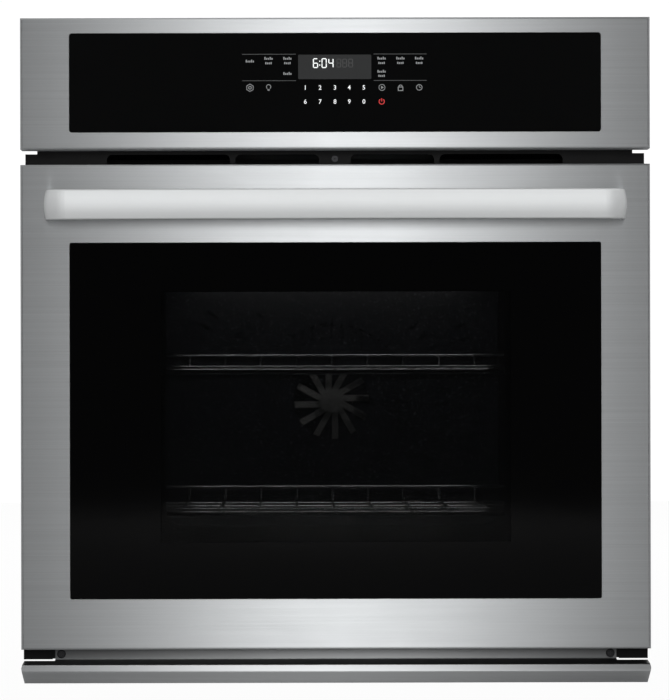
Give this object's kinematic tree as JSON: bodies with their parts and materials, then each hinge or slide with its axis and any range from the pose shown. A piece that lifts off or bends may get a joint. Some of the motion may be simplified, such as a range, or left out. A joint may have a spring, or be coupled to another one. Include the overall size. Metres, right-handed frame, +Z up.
{
  "type": "wall oven",
  "caption": "Built-in electric wall oven with a brushed steel drop-down window door, bowed bar handle, slide-out wire racks, rear convection fan and a black touch-control panel",
  "frame": {"origin": "centre of the cabinet face plane at the level of the chassis base: Y = 0 is the back of the side flanges, Z = 0 the underside of the base pan", "axes": "+X to the viewer's right, +Y from the front into the cabinet, +Z up"},
  "size_m": [0.6858, 0.6676, 0.7251],
  "materials": {
    "galvanised_sheet": "matte",
    "black_enamel": "satin",
    "cavity_enamel": "glossy",
    "mineral_wool": "matte",
    "chrome_wire": "glossy",
    "element_sheath": "matte",
    "brushed_stainless": "satin",
    "satin_handle": "satin",
    "black_glass": "glossy",
    "clear_glass": "glossy",
    "gasket_braid": "matte",
    "fan_metal": "satin",
    "black_screw": "satin",
    "black_plastic": "matte",
    "circuit_board": "matte"
  },
  "bodies": {
    "chassis": {"base_pan": "galvanised_sheet", "left_side_panel": "galvanised_sheet", "right_side_panel": "galvanised_sheet", "rear_panel": "galvanised_sheet", "top_cover": "galvanised_sheet", "front_frame": "black_enamel", "cavity_liner": "cavity_enamel", "insulation_blanket": "mineral_wool", "left_rack_support": "chrome_wire", "right_rack_support": "chrome_wire", "bake_element": "element_sheath", "broil_element": "element_sheath", "broil_supports": "chrome_wire", "convection_element": "element_sheath", "fan_baffle": "cavity_enamel", "fan_motor": "galvanised_sheet", "lamp_housing": "galvanised_sheet", "lamp_bulb": "clear_glass", "lamp_lens": "clear_glass", "temperature_sensor": "chrome_wire", "door_gasket": "gasket_braid", "air_duct": "galvanised_sheet", "oven_flue": "galvanised_sheet", "blower_housing": "galvanised_sheet", "blower_motor": "galvanised_sheet", "vent_trim": "black_enamel", "control_panel_frame": "brushed_stainless", "control_glass": "black_glass", "display_module": "black_plastic", "control_board": "circuit_board", "junction_box": "galvanised_sheet", "terminal_block": "black_plastic", "conduit_bush": "fan_metal", "right_side_flange": "black_enamel", "left_side_flange": "black_enamel", "bottom_trim": "brushed_stainless", "front_screws": "black_screw", "right_hinge_receiver": "galvanised_sheet", "left_hinge_receiver": "galvanised_sheet", "right_hinge_arm": "fan_metal", "left_hinge_arm": "fan_metal", "door_switch": "black_plastic"},
    "door": {"door_skin": "brushed_stainless", "door_outer_glass": "black_glass", "outer_glass_frame": "galvanised_sheet", "glass_pack_frame": "galvanised_sheet", "middle_glass": "clear_glass", "inner_glass": "clear_glass", "glass_spacer": "galvanised_sheet", "door_liner": "black_enamel", "door_insulation": "mineral_wool", "right_hinge_body": "fan_metal", "left_hinge_body": "fan_metal", "handle_bar": "satin_handle", "handle_screws": "fan_metal"},
    "upper_rack_body": {"upper_rack": "chrome_wire"},
    "lower_rack_body": {"lower_rack": "chrome_wire"},
    "fan_body": {"convection_fan": "fan_metal"},
    "blower_body": {"blower_wheel": "fan_metal"},
    "plunger_body": {"switch_plunger": "black_plastic"}
  },
  "joints": [
    {"name": "door_hinge", "type": "hinge", "parent": "chassis", "child": "door", "pos_m": [0, -0.03, 0.03], "axis": [1, 0, 0], "range_deg": [0, 90], "stiffness_Nm_per_rad": 24, "springref_deg": -20.05},
    {"name": "upper_rack_slide", "type": "slide", "parent": "chassis", "child": "upper_rack_body", "axis": [0, -1, 0], "range_m": [0, 0.29061]},
    {"name": "lower_rack_slide", "type": "slide", "parent": "chassis", "child": "lower_rack_body", "axis": [0, -1, 0], "range_m": [0, 0.29061]},
    {"name": "convection_fan_spin", "type": "hinge", "parent": "chassis", "child": "fan_body", "pos_m": [0, 0.45, 0.2795], "axis": [0, 1, 0], "continuous": true},
    {"name": "blower_spin", "type": "hinge", "parent": "chassis", "child": "blower_body", "pos_m": [0, 0.214, 0.563], "axis": [1, 0, 0], "continuous": true},
    {"name": "switch_slide", "type": "slide", "parent": "chassis", "child": "plunger_body", "axis": [0, -1, 0], "range_m": [0, 0.004]}
  ],
  "couplings": [
    {"joint": "upper_rack_slide", "follows": "door_hinge", "m_per_rad": 0.185},
    {"joint": "lower_rack_slide", "follows": "door_hinge", "m_per_rad": 0.185},
    {"joint": "switch_slide", "follows": "door_hinge", "m_per_rad": 0.0025}
  ]
}
